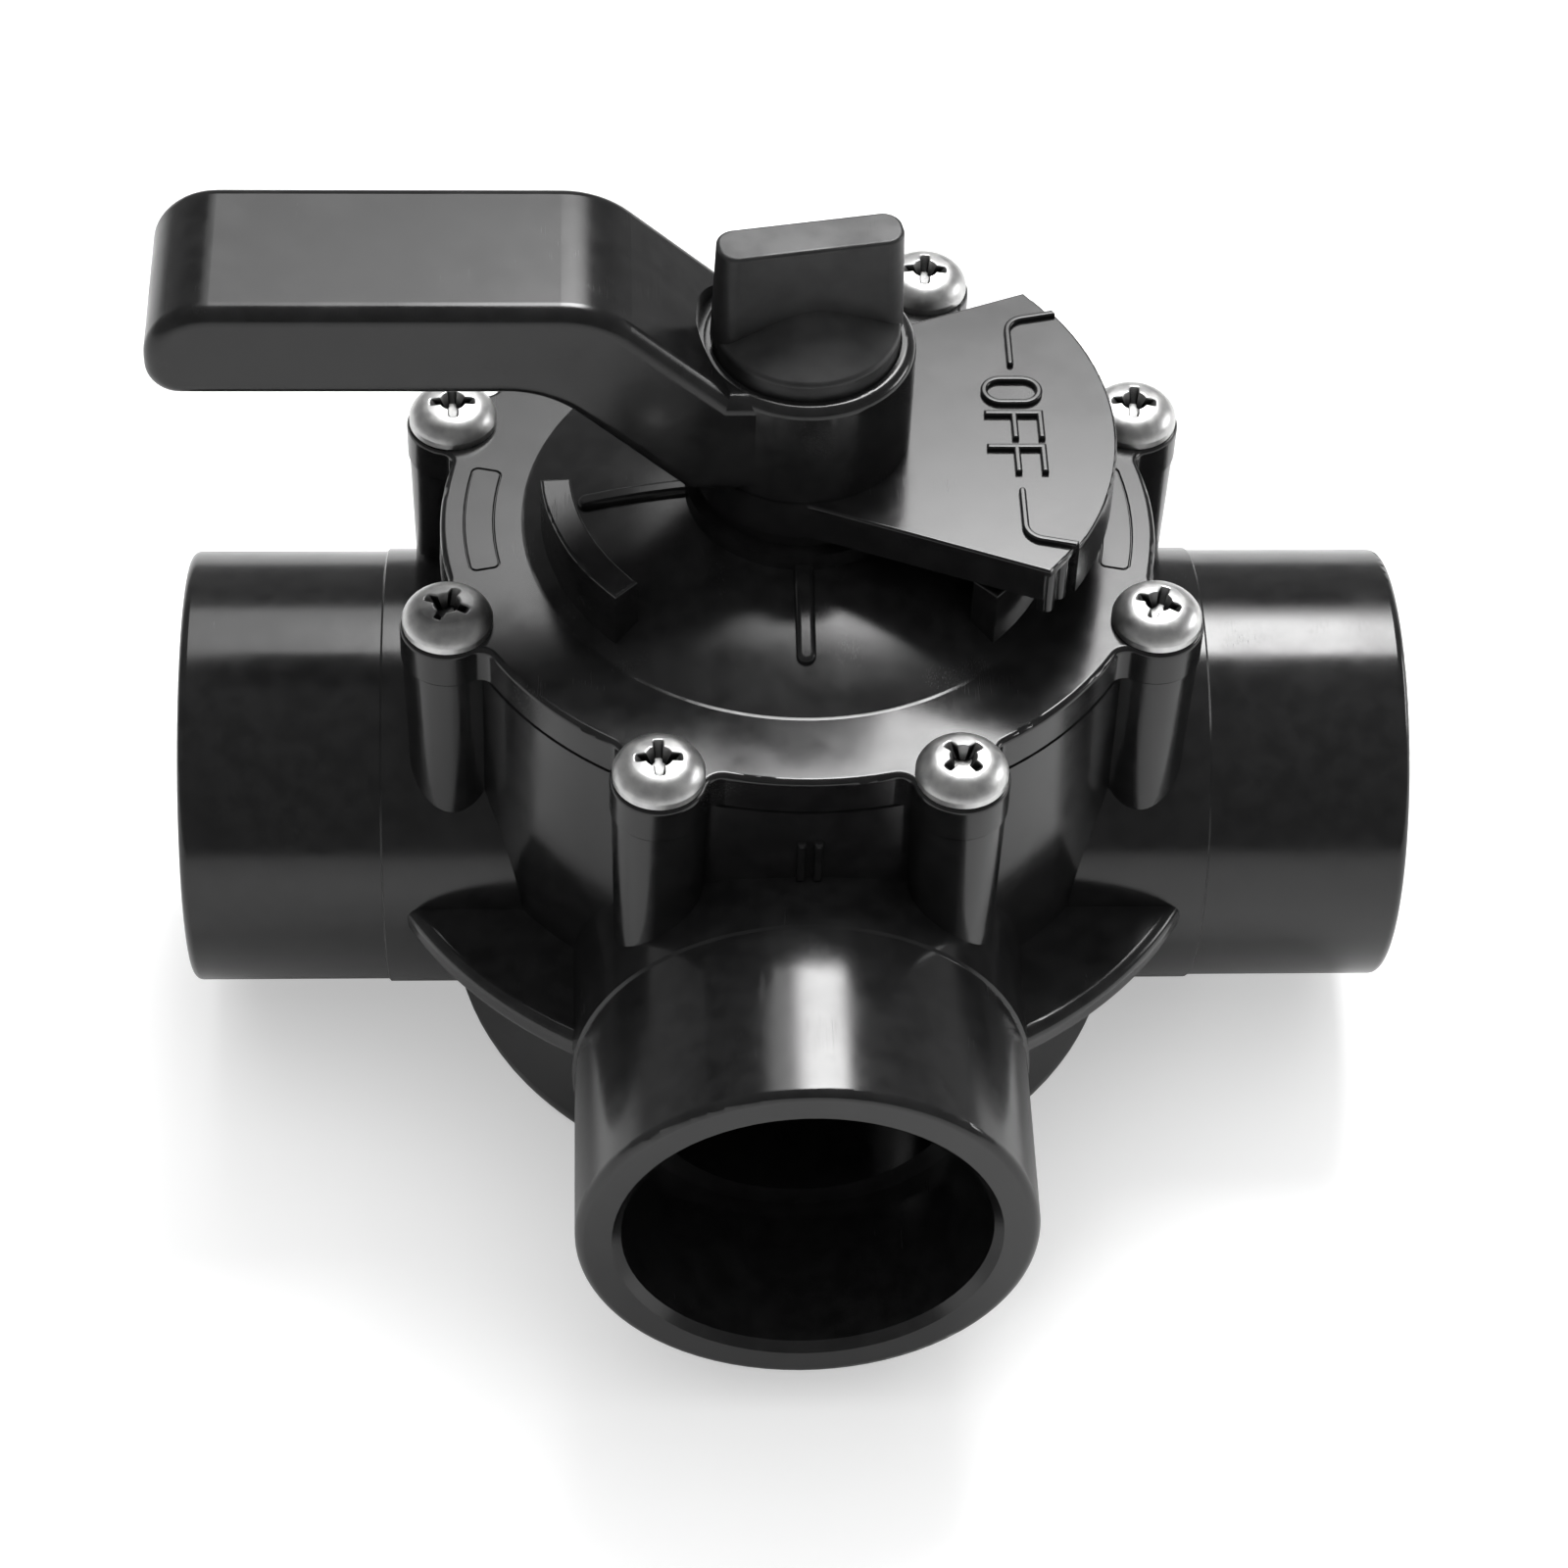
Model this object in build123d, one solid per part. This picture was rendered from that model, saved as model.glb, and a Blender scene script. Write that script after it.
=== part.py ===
"""Three way diverter valve: body, cover, rotor, handle and locking knob, one STEP per piece.

Millimetres. The origin is the centre of the flat base on the stem's axis, +Z goes up the stem,
the ports point along -X, +X and -Y, and the lever lies along -X with the +X port shut.
"""

from build123d import *

import os
from math import cos, degrees, radians, sin, tan

# How far a piece runs into the one it joins, and a cut runs past a face
BITE = 1.0
NEARLY = 0.01
RUNNING_GAP = 0.06

# Ports: solvent sockets for 1 1/2 in pipe inside, 2 in spigots outside
PORT_Z = 39.0
PORT_REACH = 83.5
PORT_R = 30.15
PORT_NECK_R = 30.5
PORT_NECK_END = 56.0
PORT_NECK_FADE = 0.3
SOCKET_R = 24.2
SOCKET_DEPTH = 24.0
SOCKET_LEAD = 1.2
WATERWAY_R = 21.0
RIM_ROUND = 1.2
PORT_ANGLES = (0, 180, -90)

# Bowl
BODY_R = 48.0
CHAMBER_R = 43.5
FLOOR_Z = 6.0
PARTING_Z = 81.7
BASE_ROUND = 6.0
WEB_R = 61.0
WEB_TOP_Z = 42.8
WEB_THICK = 4.5
WEB_ROUND = 1.6
PIVOT_SOCKET_R = 5.05
PIVOT_SOCKET_Z = 2.6

# Screws and their bosses
SCREW_CIRCLE_R = 50.25
SCREW_ANGLES = (22.5, 67.5, 112.5, 157.5, -157.5, -112.5, -67.5, -22.5)
CROSS_TURNS = (-5, -3, 30, 3, -24, 2, 42, -23)
BOSS_R = 6.3
BODY_BOSS_TOP_R = 6.1
BODY_BOSS_LOW_R = 5.4
PILOT_R = 2.95
PILOT_DEPTH = 21.0
CLEARANCE_HOLE_R = 3.25
SHANK_R = 2.9
SHANK_LENGTH = 24.0
SHANK_POINT = (0.8, 3.0)
SCREW_HEAD_R = 5.95
SCREW_HEAD_H = 3.75
SCREW_EDGE_H = 0.9
CROWN_R = 3.5
CROWN_CURVE_R = 13.6
CROSS_WIDTH = 1.35
CROSS_SPAN = 7.4
CROSS_DEPTH = 2.3
CROSS_CORE_R = (1.0, 2.0)
CROSS_TAPER = (0.45, 0.7)
CROSS_ARM_ROUND = 0.3
CROSS_LIP_ROUND = 0.22

# Index ribs above the -Y port
INDEX_X = (-0.8, 1.4)
INDEX_WIDTH = 1.15
INDEX_Z = (69.5, 76.6)
INDEX_PROUD = 0.9
INDEX_ROUND = 0.5

# Cover
COVER_R = 47.8
COVER_TOP_Z = 87.5
COVER_ROUND = 0.8
PARTING_CHAMFER = 0.3
BOSS_BLEND = 2.0
SPIGOT_R = 43.4
SPIGOT_Z = 75.5
SPIGOT_WALL = 3.6
RING_GROOVE_Z = (77.2, 80.4)
RING_GROOVE_R = 41.0
RING_Z = 78.8
DOME_FOOT_R = 36.8
DOME_CURVE_R = 105.0
DOME_FOOT_ROUND = 1.2
COVER_WALL = 4.0
STEP_R = 15.3
STEP_TOP_Z = 95.5
COLLAR_R = 13.4
COLLAR_TOP_Z = 97.8
NECK_OUT_R = 14.0
NECK_LOW_Z = 74.6
NECK_BORE_R = 9.56
RIB_WIDTH = 2.6
RIB_ROUND = 0.75
RIB_END_R = 29.5
RIB_PROUD = 0.9
STOP_R = (30.4, 34.4)
STOP_TOP_Z = 97.0
STOP_ANGLES = (-44.5, -3.86)
STOP_ROUND = 0.4
LABEL_R = (40.5, 44.8)
LABEL_HALF_ANGLE = 12.5
LABEL_GROOVE = 0.4
LABEL_DEPTH = 0.3
LABEL_SLOPE = 0.17
LABEL_ROUND = 0.7

# Rotor
SHAFT_R = 9.5
SHAFT_TOP_Z = 114.0
DRIVE_Z = 98.2
DRIVE_FLAT = 7.0
PIVOT_R = 5.0
PIVOT_END_GAP = 0.6
ROTOR_R = 42.4
ROTOR_INNER_R = 38.6
GATE_HALF_ANGLE = 37.0
PLATE_LOW_Z = (8.0, 12.0)
PLATE_TOP_Z = (68.6, 72.6)
ROTOR_HUB_R = 14.0
SPINE_WIDTH = 4.0
SPINE_X = 20.0
SEAL_R = (22.8, 26.2)
SEAL_GAP = 0.05
SEAL_GROOVE_R = 41.2
SEAL_FACE_R = 43.44
SHAFT_RING_Z = (80.5, 87.5)
SHAFT_GROOVE_R = 7.7
SHAFT_GROOVE_WIDTH = 2.6
INSERT_R = 5.6
INSERT_LENGTH = 14.0
INSERT_GROOVE_Z = (105.0, 110.0)
INSERT_GROOVE = (1.4, 0.6)
THRUST_WASHER_R = 13.5
WASHER_GAP = 0.1
WIRE_GAP = 0.02

# Handle
HUB_R = 14.2
HUB_TOP_Z = 120.0
HUB_LOW_Z = 98.3
FLANGE_R = 14.6
HUB_ROUND = 1.4
COUNTERBORE_R = 12.35
COUNTERBORE_Z = 117.0
STUD_HOLE_R = 4.6
SOCKET_GAP = 0.08
SHAFT_END_GAP = 0.3
LEVER_HALF_WIDTH = 12.5
LEVER_TOP_Z = 135.0
LEVER_GRIP_LOW_Z = 120.8
LEVER_TIP_X = -83.5
LEVER_TIP_ROUNDS = (8.6, 4.4)
LEVER_BEND_TOP_X = -26.2
LEVER_BEND_LOW_X = -33.2
LEVER_BEND_ROUND = 13.0
LEVER_FOOT_TOP_X = -10.0
LEVER_FOOT_LOW_X = -15.2
LEVER_FOOT_END_X = -2.0
LEVER_EDGE_ROUND = 2.2
LEVER_WALL = 2.8
LEVER_HOLLOW_X = (-82.0, -30.0)
LEVER_RIB_X = (-70.0, -56.0, -43.0)
LEVER_RIB_HALF = 0.9
KNOB_POCKET_R = 14.3
WING_TOP_Z = 104.0
WING_LOW_Z = 98.5
WING_SKIN = 3.2
WING_R = 41.3
WING_HALF_ANGLE = 40.6
WING_FLARE = 21.5
WING_EDGE_ROUND = 0.35
SKIRT_LOW_Z = 96.0
SKIRT_WALL = 2.4
LUG_WIDTH = 4.0
LUG_X = (27.0, 34.6)
LUG_LOW_Z = 92.4
MARK_WIDTH = 0.9
MARK_PROUD = 0.7
MARK_ROUND = 0.3
FRAME_CORNER = (28.1, 20.6)
FRAME_CORNER_ROUND = 2.6
FRAME_START_Y = 12.2
FRAME_END_ANGLE = 32.0
GRIP_START_ANGLE = 32.6
GRIP_LIP = 1.0
GRIP_LIP_RECESS = 0.55
GRIP_RECESS = 1.3
GRIP_RIDGE_ANGLES = (34.9, 39.0)
GRIP_RIDGE_R = 1.0
GRIP_RIDGE_RECESS = 0.65
LETTER_X = (24.0, 31.8)
O_CENTRE_Y = 6.8
O_WIDTH = 5.4
O_EXTRA = 0.4
F_STEM_Y = (2.4, -4.0)
F_ARM = 4.8

# Knob
KNOB_R = 12.1
KNOB_Z = (118.0, 122.6)
KNOB_ROUND = 0.8
KNOB_CONE = 5.9
TAB_TOP_Z = 137.0
TAB_THICK = 6.0
TAB_LENGTH = (25.0, 23.9)
TAB_TURN = 10.0
TAB_END_ROUND = 2.5
TAB_TOP_ROUND = 0.5
WASHER_R = 10.8
STUD_R = 3.9
STUD_NECK_R = 3.5
STUD_GRIP = 4.2
STUD_LOW_Z = 101.5
THREAD_CORE_R = 3.4
THREAD_POINT = 0.8
THREAD_RUNOUT = 0.4


def turned(points):
    """Solid of revolution about Z from (radius, height) points."""
    return revolve(Plane.XZ * make_face(Polyline(*points, close=True)), Axis.Z)


def tube(r_out, r_in, z_low, z_high):
    """Plain ring between two heights."""
    return turned([(r_in, z_low), (r_out, z_low), (r_out, z_high), (r_in, z_high)])


def post(radius, z_low, z_high, x=0.0, y=0.0):
    """Upright cylinder."""
    return Pos(x, y, (z_low + z_high) / 2) * Cylinder(radius, z_high - z_low)


def block(x, y, z):
    """Box between three pairs of limits."""
    centre = Pos((x[0] + x[1]) / 2, (y[0] + y[1]) / 2, (z[0] + z[1]) / 2)
    return centre * Box(x[1] - x[0], y[1] - y[0], z[1] - z[0])


def polar(radius, angle):
    """Point on a circle about Z, the angle in degrees from +X."""
    return radius * cos(radians(angle)), radius * sin(radians(angle))


def arc_face(r_in, r_out, start, end):
    """Flat piece of a ring between two angles."""
    middle = (start + end) / 2
    outer = ThreePointArc(polar(r_out, start), polar(r_out, middle), polar(r_out, end))
    inner = ThreePointArc(polar(r_in, end), polar(r_in, middle), polar(r_in, start))
    return make_face([outer, Line(outer @ 1, inner @ 0), inner, Line(inner @ 1, outer @ 0)])


def arc_block(r_in, r_out, start, end, z_low, z_high):
    """Upright piece of a ring between two angles and two heights."""
    return extrude(Pos(0, 0, z_low) * arc_face(r_in, r_out, start, end), z_high - z_low)


def toward_port(shape, angle):
    """Lays a shape made along Z onto a port's axis."""
    return Rot(0, 0, angle) * (Pos(0, 0, PORT_Z) * (Rot(0, 90, 0) * shape))


def port_outside():
    """Spigot with a rounded rim and a fine step where the neck begins."""
    inner_rim = PORT_REACH - RIM_ROUND
    neck = [(0, 0), (PORT_NECK_R, 0), (PORT_NECK_R, PORT_NECK_END)]
    side = Polyline(*neck, (PORT_R, PORT_NECK_END + PORT_NECK_FADE), (PORT_R, inner_rim))
    corner = ThreePointArc(
        (PORT_R, inner_rim),
        (PORT_R - RIM_ROUND * (1 - cos(radians(45))), inner_rim + RIM_ROUND * sin(radians(45))),
        (PORT_R - RIM_ROUND, PORT_REACH),
    )
    end = Polyline((PORT_R - RIM_ROUND, PORT_REACH), (0, PORT_REACH), (0, 0))
    return revolve(Plane.XZ * make_face([side, corner, end]), Axis.Z)


def port_inside():
    """Socket with a lead-in at its mouth, then the narrower waterway."""
    stop = PORT_REACH - SOCKET_DEPTH
    points = [
        (0, 0),
        (WATERWAY_R, 0),
        (WATERWAY_R, stop),
        (SOCKET_R, stop),
        (SOCKET_R, PORT_REACH - SOCKET_LEAD),
        (SOCKET_R + SOCKET_LEAD, PORT_REACH),
        (SOCKET_R + SOCKET_LEAD, PORT_REACH + BITE),
        (0, PORT_REACH + BITE),
    ]
    return turned(points)


def body_boss(angle):
    """Tapered screw boss on the bowl, down to the web flange."""
    x, y = polar(SCREW_CIRCLE_R, angle)
    height = PARTING_Z - WEB_TOP_Z + BITE
    cone = Cone(BODY_BOSS_LOW_R, BODY_BOSS_TOP_R, height)
    return Pos(x, y, PARTING_Z - height / 2) * cone


def index_rib(x):
    """Upright rib on the wall above the -Y port."""
    y_face = -BODY_R - INDEX_PROUD
    rib = block((x - INDEX_WIDTH / 2, x + INDEX_WIDTH / 2), (y_face, y_face + INDEX_PROUD + BITE), INDEX_Z)
    return fillet(rib.edges().group_by(Axis.Y)[0], INDEX_ROUND)


def web_flange():
    """Flange disc between the ports with rounded edges."""
    disc = tube(WEB_R, BODY_R - BITE, WEB_TOP_Z - WEB_THICK, WEB_TOP_Z)
    rim = disc.edges().filter_by(GeomType.CIRCLE).group_by(SortBy.RADIUS)[-1]
    return fillet(rim, WEB_ROUND)


def valve_body():
    """Bowl, ports, web flange and bosses in one moulding."""
    bowl = post(BODY_R, 0, PARTING_Z)
    bowl = fillet(bowl.edges().group_by(Axis.Z)[0], BASE_ROUND)
    body = bowl + web_flange()
    for angle in SCREW_ANGLES:
        body += body_boss(angle)
    for angle in PORT_ANGLES:
        body += toward_port(port_outside(), angle)
    for x in INDEX_X:
        body += index_rib(x)
    body -= post(CHAMBER_R, FLOOR_Z, PARTING_Z + BITE)
    for angle in PORT_ANGLES:
        body -= toward_port(port_inside(), angle)
    for angle in SCREW_ANGLES:
        body -= post(PILOT_R, PARTING_Z - PILOT_DEPTH, PARTING_Z + BITE, *polar(SCREW_CIRCLE_R, angle))
    return body - post(PIVOT_SOCKET_R, PIVOT_SOCKET_Z, FLOOR_Z + BITE)


def dome(offset):
    """Shallow cap about the stem, its sphere grown by offset, down to the parting height."""
    radius = DOME_CURVE_R + offset
    centre_z = COVER_TOP_Z - (DOME_CURVE_R**2 - DOME_FOOT_R**2) ** 0.5
    foot_r = (radius**2 - (PARTING_Z - centre_z) ** 2) ** 0.5
    cap = Pos(0, 0, centre_z) * Sphere(radius)
    return cap & post(foot_r, PARTING_Z, centre_z + radius + BITE)


def dome_rib(angle):
    """Radial rib on the dome with a round outer end and round top edges."""
    half = RIB_WIDTH / 2
    outer = RIB_END_R - half
    bar = block((COLLAR_R, outer), (-half, half), (COVER_TOP_Z, COLLAR_TOP_Z))
    bar += post(half, COVER_TOP_Z, COLLAR_TOP_Z, outer)
    rib = bar & dome(RIB_PROUD)
    rib = fillet(rib.faces().sort_by(Axis.Z)[-1].edges(), RIB_ROUND)
    return Rot(0, 0, angle) * rib


def label_outline(angle):
    """Fine groove round a blank label field on the cover's ring."""
    low, high = LABEL_R
    inner = arc_face(low + LABEL_GROOVE, high - LABEL_GROOVE, -LABEL_HALF_ANGLE, LABEL_HALF_ANGLE)
    reach = LABEL_HALF_ANGLE + degrees(LABEL_GROOVE / low)
    outer = arc_face(low, high, -reach, reach)
    outer = fillet(outer.vertices(), LABEL_ROUND + LABEL_GROOVE)
    inner = fillet(inner.vertices(), LABEL_ROUND)
    groove = extrude(Pos(0, 0, COVER_TOP_Z - LABEL_DEPTH) * (outer - inner), LABEL_DEPTH + BITE)
    return Rot(0, 0, angle) * chamfer(groove.edges().group_by(Axis.Z)[0], LABEL_DEPTH - NEARLY, LABEL_SLOPE)


def cover_plate():
    """Flat ring with its bosses, and the dome rising from it out of a small round."""
    bosses = [Pos(*polar(SCREW_CIRCLE_R, angle)) * Circle(BOSS_R) for angle in SCREW_ANGLES]
    outline = Circle(COVER_R) + bosses
    outline = fillet(outline.vertices(), BOSS_BLEND)
    plate = extrude(Pos(0, 0, PARTING_Z) * outline, COVER_TOP_Z - PARTING_Z)
    plate = fillet(plate.edges().group_by(Axis.Z)[-1], COVER_ROUND)
    plate = chamfer(plate.edges().group_by(Axis.Z)[0], PARTING_CHAMFER)
    plate += dome(0) & post(DOME_FOOT_R, COVER_TOP_Z - BITE, COLLAR_TOP_Z)
    rings = plate.edges().filter_by(GeomType.CIRCLE)
    foot = rings.filter_by(lambda edge: abs(edge.radius - DOME_FOOT_R) < NEARLY)
    return fillet(foot, DOME_FOOT_ROUND)


def valve_cover():
    """Cover plate with its spigot, collar, neck, ribs and the two stops."""
    cover = cover_plate() + tube(SPIGOT_R, SPIGOT_R - SPIGOT_WALL, SPIGOT_Z, PARTING_Z + BITE)
    cover -= dome(-COVER_WALL) & post(DOME_FOOT_R, PARTING_Z, COLLAR_TOP_Z)
    cover += post(STEP_R, COVER_TOP_Z, STEP_TOP_Z) + post(COLLAR_R, COVER_TOP_Z, COLLAR_TOP_Z)
    cover += post(NECK_OUT_R, NECK_LOW_Z, STEP_TOP_Z)
    for angle in (0, 90, 180, 270):
        cover += dome_rib(angle)
    for start in (STOP_ANGLES[0], -180 - STOP_ANGLES[1]):
        end = start + STOP_ANGLES[1] - STOP_ANGLES[0]
        stop = arc_block(*STOP_R, start, end, COVER_TOP_Z, STOP_TOP_Z)
        cover += fillet(stop.edges().group_by(Axis.Z)[-1], STOP_ROUND)
    for angle in (0, 180):
        cover -= label_outline(angle)
    for angle in SCREW_ANGLES:
        cover -= post(CLEARANCE_HOLE_R, PARTING_Z - BITE, COVER_TOP_Z + BITE, *polar(SCREW_CIRCLE_R, angle))
    cover -= tube(SPIGOT_R + BITE, RING_GROOVE_R, *RING_GROOVE_Z)
    return cover - post(NECK_BORE_R, NECK_LOW_Z - BITE, COLLAR_TOP_Z + BITE)


def o_ring(centre_r, wire_r, z):
    """O-ring drawn round and unsqueezed."""
    return Pos(0, 0, z) * Torus(centre_r, wire_r)


def crown_drop(radius):
    """How far the crown of a screw's head has fallen at a radius."""
    return CROWN_CURVE_R - (CROWN_CURVE_R**2 - radius**2) ** 0.5


def screw_head():
    """Pan head at z = 0: short straight edge, round shoulder and a nearly flat crown."""
    crown_edge = (CROWN_R, SCREW_HEAD_H - crown_drop(CROWN_R))
    side = Polyline((0, 0), (SCREW_HEAD_R, 0), (SCREW_HEAD_R, SCREW_EDGE_H))
    middle = (CROWN_R / 2, SCREW_HEAD_H - crown_drop(CROWN_R / 2))
    crown = ThreePointArc(crown_edge, middle, (0, SCREW_HEAD_H))
    slope = Vector((CROWN_CURVE_R**2 - CROWN_R**2) ** 0.5, -CROWN_R)
    shoulder = TangentArc(crown_edge, (SCREW_HEAD_R, SCREW_EDGE_H), tangent=slope)
    return revolve(Plane.XZ * make_face([side, shoulder, crown, Line((0, SCREW_HEAD_H), (0, 0))]), Axis.Z)


def cross_recess():
    """Cross recess that narrows with depth, cut from a head's top."""
    low, high = SCREW_HEAD_H - CROSS_DEPTH, SCREW_HEAD_H + BITE / 2
    core = Pos(0, 0, (low + high) / 2) * Cone(*CROSS_CORE_R, high - low)
    span, width = CROSS_TAPER
    for turn in (0, 90):
        mouth = RectangleRounded(CROSS_SPAN, CROSS_WIDTH, CROSS_ARM_ROUND)
        bottom = RectangleRounded(CROSS_SPAN * span, CROSS_WIDTH * width, CROSS_ARM_ROUND)
        core += Rot(0, 0, turn) * loft([Pos(0, 0, high) * mouth, Pos(0, 0, low) * bottom])
    return core


def on_skin(shape, edge):
    """Whether an edge runs along a shape's surface."""
    skin = shape.shell()
    return all(skin.distance_to(edge @ along) < NEARLY for along in (0.25, 0.5, 0.75))


def recessed_head():
    """Pan head with its cross recess, the recess's lip worn round."""
    head = screw_head()
    cut = head - cross_recess()
    lip = cut.edges().filter_by(lambda edge: on_skin(head, edge) and not on_head_seam(edge))
    return fillet(lip, CROSS_LIP_ROUND)


def on_head_seam(edge):
    """Whether an edge is one of the plain head's own circles or its revolve seam."""
    away = (edge.center().X ** 2 + edge.center().Y ** 2) ** 0.5
    if edge.geom_type == GeomType.CIRCLE:
        return edge.radius > CROWN_R - NEARLY
    return abs(edge.center().Y) < NEARLY and away > CROWN_R


def plain_screw():
    """Pan head self-tapping screw standing in its hole, its shank at thread core size."""
    point_r, point_length = SHANK_POINT
    low = -SHANK_LENGTH
    shank = turned([(0, low), (point_r, low), (SHANK_R, low + point_length), (SHANK_R, 0), (0, 0)])
    return recessed_head() + shank


def cover_screw(screw, angle, cross_turn):
    """The screw at its place on the cover, its cross turned as it was driven."""
    x, y = polar(SCREW_CIRCLE_R, angle)
    return Pos(x, y, COVER_TOP_Z) * (Rot(0, 0, cross_turn) * screw)


def sector_plate(z_low, z_high):
    """Flat plate from the hub out to the gate's two edges."""
    reach = ROTOR_INNER_R + BITE
    half = GATE_HALF_ANGLE
    outline = make_face(Polyline((0, 0), polar(reach, half), (reach, 0), polar(reach, -half), close=True))
    return extrude(Pos(0, 0, z_low) * outline, z_high - z_low) + post(ROTOR_HUB_R, z_low, z_high)


def diverter_rotor():
    """Curved gate between two sector plates, with the shaft above and a pivot below."""
    low, high = PLATE_LOW_Z[0], PLATE_TOP_Z[1]
    rotor = arc_block(ROTOR_INNER_R, ROTOR_R, -GATE_HALF_ANGLE, GATE_HALF_ANGLE, low, high)
    rotor += sector_plate(*PLATE_LOW_Z) + sector_plate(*PLATE_TOP_Z)
    rotor += block((SPINE_X, ROTOR_INNER_R + BITE), (-SPINE_WIDTH / 2, SPINE_WIDTH / 2), (low, high))
    rotor += post(PIVOT_R, PIVOT_SOCKET_Z + PIVOT_END_GAP, high)
    rotor -= post(PIVOT_R + BITE, PLATE_LOW_Z[1], PLATE_TOP_Z[0])
    rotor += post(SHAFT_R, PLATE_TOP_Z[0], DRIVE_Z) + drive(SHAFT_R, DRIVE_FLAT, DRIVE_Z, SHAFT_TOP_Z)
    for z in SHAFT_RING_Z:
        rotor -= tube(SHAFT_R + BITE, SHAFT_GROOVE_R, z - SHAFT_GROOVE_WIDTH / 2, z + SHAFT_GROOVE_WIDTH / 2)
    rotor -= post(INSERT_R, SHAFT_TOP_Z - INSERT_LENGTH, SHAFT_TOP_Z + BITE)
    return rotor - seal_ring(SEAL_R[0] - SEAL_GAP, SEAL_R[1] + SEAL_GAP, SEAL_GROOVE_R, SEAL_FACE_R + BITE)


def drive(radius, flat, z_low, z_high):
    """Round bar with two flats, facing +Y and -Y."""
    return post(radius, z_low, z_high) & block((-radius, radius), (-flat, flat), (z_low, z_high))


def seal_ring(r_in, r_out, shell_in, shell_out):
    """Ring about the +X port's axis that follows the chamber wall."""
    pipe = Rot(0, 90, 0) * (Cylinder(r_out, shell_out) - Cylinder(r_in, shell_out + BITE))
    shell = tube(shell_out, shell_in, 0, 2 * PORT_Z)
    return Pos(shell_out / 2 + BITE, 0, PORT_Z) * pipe & shell


def diverter_seal():
    """Elastomer ring in the gate's face."""
    return seal_ring(*SEAL_R, SEAL_GROOVE_R + SEAL_GAP, SEAL_FACE_R)


def shaft_insert():
    """Threaded insert in the shaft, its bore drawn at thread core size."""
    insert = tube(INSERT_R, THREAD_CORE_R + RUNNING_GAP, SHAFT_TOP_Z - INSERT_LENGTH, SHAFT_TOP_Z)
    width, depth = INSERT_GROOVE
    for z in INSERT_GROOVE_Z:
        insert -= tube(INSERT_R + BITE, INSERT_R - depth, z - width / 2, z + width / 2)
    return insert


def near(shape, x, y):
    """Corner of a flat shape nearest to a point."""
    return shape.vertices().sort_by(lambda v: abs(v.X - x) + abs(v.Y - y))[0]


def lever_side(inset=0.0):
    """Side view of the lever: level grip, rounded tip and the slope down to the hub."""
    top = LEVER_TOP_Z - inset
    tip = LEVER_TIP_X + inset
    foot = HUB_TOP_Z - inset
    bend_top = (LEVER_BEND_TOP_X + inset, top)
    bend_low = (LEVER_BEND_LOW_X, LEVER_GRIP_LOW_Z)
    side = make_face(Polyline((LEVER_FOOT_END_X, foot), (LEVER_FOOT_TOP_X + inset, foot), bend_top,
                              (tip, top), (tip, LEVER_GRIP_LOW_Z), bend_low, (LEVER_FOOT_LOW_X, WING_TOP_Z),
                              (LEVER_FOOT_END_X, WING_TOP_Z), close=True))
    side = fillet(near(side, tip, top), LEVER_TIP_ROUNDS[0] - inset)
    side = fillet(near(side, tip, LEVER_GRIP_LOW_Z), LEVER_TIP_ROUNDS[1] - inset / 2)
    side = fillet(near(side, *bend_top), LEVER_BEND_ROUND)
    return fillet(near(side, *bend_low), LEVER_BEND_ROUND)


def lever_hollow():
    """Space under the grip, open below and split by ribs across and one along."""
    width = (-LEVER_HALF_WIDTH, LEVER_HALF_WIDTH)
    low, high = HUB_LOW_Z, LEVER_TOP_Z
    hollow = extrude(Plane.XZ * lever_side(LEVER_WALL), LEVER_HALF_WIDTH - LEVER_WALL, both=True)
    hollow &= block(LEVER_HOLLOW_X, width, (low, high))
    lower_half = hollow & block(LEVER_HOLLOW_X, width, (low, high - LEVER_WALL * 2))
    hollow += Pos(0, 0, -LEVER_WALL - BITE) * lower_half
    for x in LEVER_RIB_X:
        hollow -= block((x - LEVER_RIB_HALF, x + LEVER_RIB_HALF), width, (low, high))
    return hollow - block(LEVER_HOLLOW_X, (-LEVER_RIB_HALF, LEVER_RIB_HALF), (low, high))


def lever():
    """Grip and slope, rounded along the edges and hollow from below between its ribs."""
    bar = extrude(Plane.XZ * lever_side(), LEVER_HALF_WIDTH, both=True)
    long_edges = bar.edges().filter_by(lambda edge: abs(abs(edge.center().Y) - LEVER_HALF_WIDTH) < NEARLY)
    outside = long_edges.filter_by(lambda edge: edge.center().X < LEVER_FOOT_END_X - BITE)
    return fillet(outside, LEVER_EDGE_ROUND) - lever_hollow()


def wing_outline(inset=0.0):
    """Sector over the shut port, its sides flared out from the hub."""
    radius = WING_R - inset
    tip_x, tip_y = polar(radius, WING_HALF_ANGLE)
    root_y = tip_y - tip_x * tan(radians(WING_FLARE)) - inset
    side_y = tip_y - inset
    top_side = Line((0, root_y), (tip_x, side_y))
    start = top_side @ 1
    arc = ThreePointArc(start, (radius, 0), (start.X, -start.Y))
    return make_face([top_side, arc, Line(arc @ 1, (0, -root_y)), Line((0, -root_y), (0, root_y))])


def grip_face(side, depth):
    """Part of the rim from the grip's start to the wing's corner, to a depth."""
    ends = sorted((side * GRIP_START_ANGLE, side * (WING_HALF_ANGLE + BITE)))
    return arc_face(WING_R - depth, WING_R + BITE, *ends)


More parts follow.
